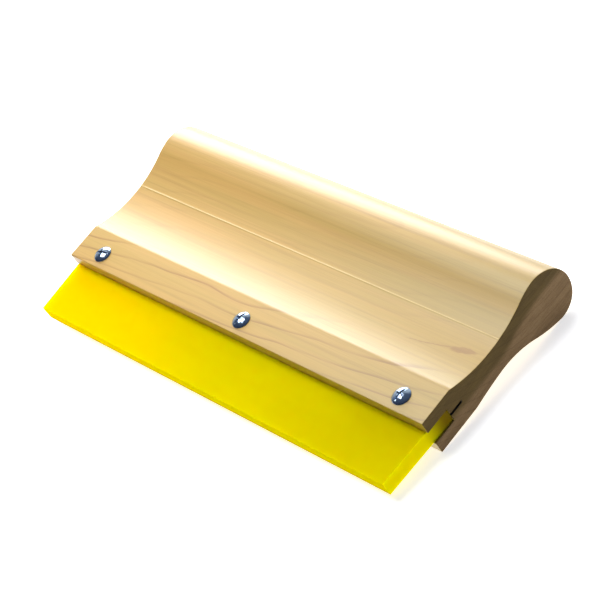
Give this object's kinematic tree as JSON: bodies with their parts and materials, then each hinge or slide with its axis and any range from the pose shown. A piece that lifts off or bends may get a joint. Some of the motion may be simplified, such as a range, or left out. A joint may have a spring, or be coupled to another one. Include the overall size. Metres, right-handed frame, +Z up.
{
  "type": "screen printing squeegee",
  "caption": "Wooden hand squeegee with a shaped grip and a square-edged polyurethane blade held between two jaws by truss-head machine screws.",
  "frame": {"origin": "on the table, under the middle of the tool as it lies on its back", "axes": "+X along the handle, towards the viewer's right when the screw heads face the viewer and the blade points down; +Y from the blade's edge towards the crown of the grip, +Z up, out of the front where the screw heads are"},
  "size_m": [0.3048, 0.15, 0.0357],
  "materials": {
    "handle_wood": "bare sanded hardwood",
    "blade_polyurethane": "translucent yellow, smooth",
    "screw_steel": "bright zinc plate",
    "nut_steel": "dull zinc plate"
  },
  "bodies": {
    "grip": {"handle": "handle_wood", "blade": "blade_polyurethane", "tee_nut_left": "nut_steel", "tee_nut_centre": "nut_steel", "tee_nut_right": "nut_steel"},
    "screw_left": {"clamp_screw_left": "screw_steel"},
    "screw_centre": {"clamp_screw_centre": "screw_steel"},
    "screw_right": {"clamp_screw_right": "screw_steel"}
  },
  "joints": [
    {"name": "screw_turn_left", "type": "hinge", "parent": "grip", "child": "screw_left", "pos_m": [-0.1294, -0.03203, 0.02612], "axis": [0, -0.0926, 0.9957], "range_deg": [0, 270]},
    {"name": "screw_turn_centre", "type": "hinge", "parent": "grip", "child": "screw_centre", "pos_m": [0, -0.03203, 0.02612], "axis": [0, -0.0926, 0.9957], "range_deg": [0, 270]},
    {"name": "screw_turn_right", "type": "hinge", "parent": "grip", "child": "screw_right", "pos_m": [0.1294, -0.03203, 0.02612], "axis": [0, -0.0926, 0.9957], "range_deg": [0, 270]}
  ]
}
